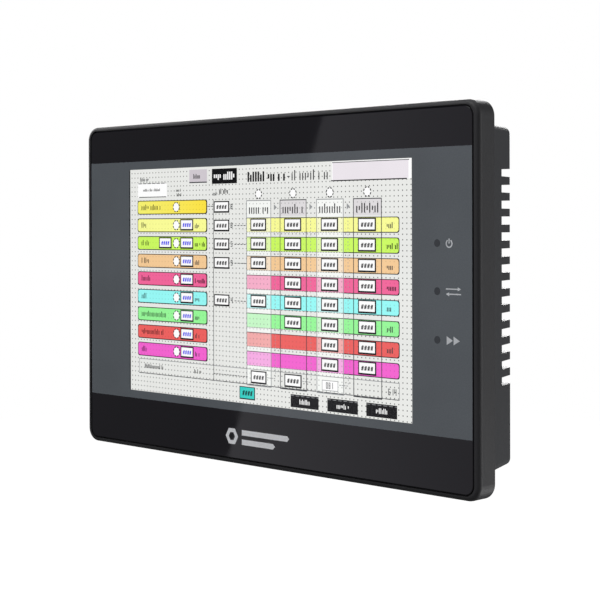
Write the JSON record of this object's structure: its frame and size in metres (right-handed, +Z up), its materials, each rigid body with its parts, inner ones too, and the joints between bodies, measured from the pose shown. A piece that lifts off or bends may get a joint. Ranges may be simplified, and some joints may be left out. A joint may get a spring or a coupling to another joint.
{
  "type": "hmi touch panel",
  "caption": "Panel-mount operator interface: framed landscape touch display with three indicator lights, vented rear housing, bottom connector bay and pluggable power block.",
  "frame": {"origin": "centre of the flange's rear face, the plane that seals against the panel", "axes": "+X to the right as the operator sees the screen, +Y to the rear into the cabinet, +Z up"},
  "size_m": [0.151, 0.036, 0.096],
  "materials": {
    "acrylic": "clear moulded acrylic",
    "adhesive": "thin black adhesive",
    "bezel_plastic": "fine moulded texture, dark charcoal",
    "button_grey": "light grey plastic",
    "cage_brass": "machined brass",
    "capacitor_can": "drawn can",
    "cell_steel": "stamped steel",
    "chip_black": "moulded epoxy",
    "circuit_board": "green solder mask",
    "clear_film": "clear conductive film",
    "clear_glass": "clear",
    "dip_red": "red moulded plastic",
    "display_glass": "lit colour display",
    "ferrite": "moulded ferrite",
    "flex_film": "amber flexible circuit",
    "foam": "closed-cell foam",
    "gold_contact": "gold flash",
    "housing_plastic": "fine moulded texture, charcoal",
    "insulator_black": "glass-filled plastic",
    "insulator_white": "white moulded plastic",
    "led_yellow": "small lamp package",
    "nickel_plate": "satin nickel plate",
    "overlay_film": "back-printed polyester, glossy, black and slate grey bands",
    "plate_silver": "blank satin plate",
    "screw_black": "black oxide",
    "screw_steel": "zinc-plated, cross or slot recess",
    "seal_rubber": "moulded sealing rubber",
    "sheet_steel": "thin rolled sheet",
    "socket_plastic": "ivory moulded plastic",
    "terminal_green": "green moulded plastic",
    "tin_contact": "tinned copper",
    "white_board": "white circuit strip",
    "zinc_steel": "zinc-plated sheet"
  },
  "bodies": {
    "root": {"backlight_strip": "white_board", "board_screws": "screw_steel", "bracket_screws": "screw_steel", "buzzer": "chip_black", "capacitors": "capacitor_can", "clock_crystal": "cell_steel", "coin_cell": "cell_steel", "coin_cell_holder": "chip_black", "com1_contacts": "gold_contact", "com1_insulator": "insulator_black", "com1_screwlocks": "nickel_plate", "com1_shell": "nickel_plate", "com2_contacts": "gold_contact", "com2_insulator": "insulator_black", "com2_screwlocks": "nickel_plate", "com2_shell": "nickel_plate", "cover_screws": "screw_black", "dip_body": "dip_red", "display_socket": "socket_plastic", "front_bezel": "bezel_plastic", "front_overlay": "overlay_film", "indicator_leds": "led_yellow", "interface_chips": "chip_black", "lcd_bracket": "zinc_steel", "lcd_cell": "display_glass", "lcd_frame": "sheet_steel", "lcd_ribbon": "flex_film", "lcd_tray": "sheet_steel", "light_guide": "acrylic", "light_pipes": "acrylic", "mainboard": "circuit_board", "memory_chips": "chip_black", "panel_gasket": "seal_rubber", "power_header": "terminal_green", "power_inductors": "ferrite", "power_pins": "tin_contact", "processor": "chip_black", "rating_plate": "plate_silver", "rear_cover": "housing_plastic", "reset_switch": "chip_black", "screen_seal": "foam", "touch_film": "clear_film", "touch_glass": "clear_glass", "touch_socket": "socket_plastic", "touch_spacer": "adhesive", "touch_tail": "flex_film", "usb_insert": "insulator_white", "usb_shell": "nickel_plate"},
    "power_plug": {"power_plug": "terminal_green", "plug_contacts": "tin_contact"},
    "clamp_screw_1": {"clamp_screw_1": "screw_steel"},
    "wire_cage_1": {"wire_cage_1": "cage_brass"},
    "clamp_screw_2": {"clamp_screw_2": "screw_steel"},
    "wire_cage_2": {"wire_cage_2": "cage_brass"},
    "clamp_screw_3": {"clamp_screw_3": "screw_steel"},
    "wire_cage_3": {"wire_cage_3": "cage_brass"},
    "dip_lever_1": {"dip_lever_1": "insulator_white"},
    "dip_lever_2": {"dip_lever_2": "insulator_white"},
    "reset_button": {"reset_button": "button_grey"}
  },
  "joints": [
    {"name": "plug_slide", "type": "slide", "parent": "root", "child": "power_plug", "axis": [0, 0, -1], "range_m": [0, 0.012]},
    {"name": "clamp_screw_1_turn", "type": "hinge", "parent": "power_plug", "child": "clamp_screw_1", "pos_m": [0.03992, 0.02, -0.035], "axis": [0, -1, 0], "range_deg": [0, 1441]},
    {"name": "wire_cage_1_lift", "type": "slide", "parent": "power_plug", "child": "wire_cage_1", "axis": [0, 1, 0], "range_m": [0, 0.002]},
    {"name": "clamp_screw_2_turn", "type": "hinge", "parent": "power_plug", "child": "clamp_screw_2", "pos_m": [0.045, 0.02, -0.035], "axis": [0, -1, 0], "range_deg": [0, 1441]},
    {"name": "wire_cage_2_lift", "type": "slide", "parent": "power_plug", "child": "wire_cage_2", "axis": [0, 1, 0], "range_m": [0, 0.002]},
    {"name": "clamp_screw_3_turn", "type": "hinge", "parent": "power_plug", "child": "clamp_screw_3", "pos_m": [0.05008, 0.02, -0.035], "axis": [0, -1, 0], "range_deg": [0, 1441]},
    {"name": "wire_cage_3_lift", "type": "slide", "parent": "power_plug", "child": "wire_cage_3", "axis": [0, 1, 0], "range_m": [0, 0.002]},
    {"name": "dip_lever_1_slide", "type": "slide", "parent": "root", "child": "dip_lever_1", "axis": [0, 1, 0], "range_m": [0, 0.0019]},
    {"name": "dip_lever_2_slide", "type": "slide", "parent": "root", "child": "dip_lever_2", "axis": [0, 1, 0], "range_m": [0, 0.0019]},
    {"name": "reset_press", "type": "slide", "parent": "root", "child": "reset_button", "axis": [0, 0, 1], "range_m": [0, 0.0005], "stiffness_N_per_m": 400}
  ],
  "couplings": [
    {"joint": "clamp_screw_1_turn", "follows": "wire_cage_1_lift", "rad_per_m": 12566},
    {"joint": "clamp_screw_2_turn", "follows": "wire_cage_2_lift", "rad_per_m": 12566},
    {"joint": "clamp_screw_3_turn", "follows": "wire_cage_3_lift", "rad_per_m": 12566}
  ]
}
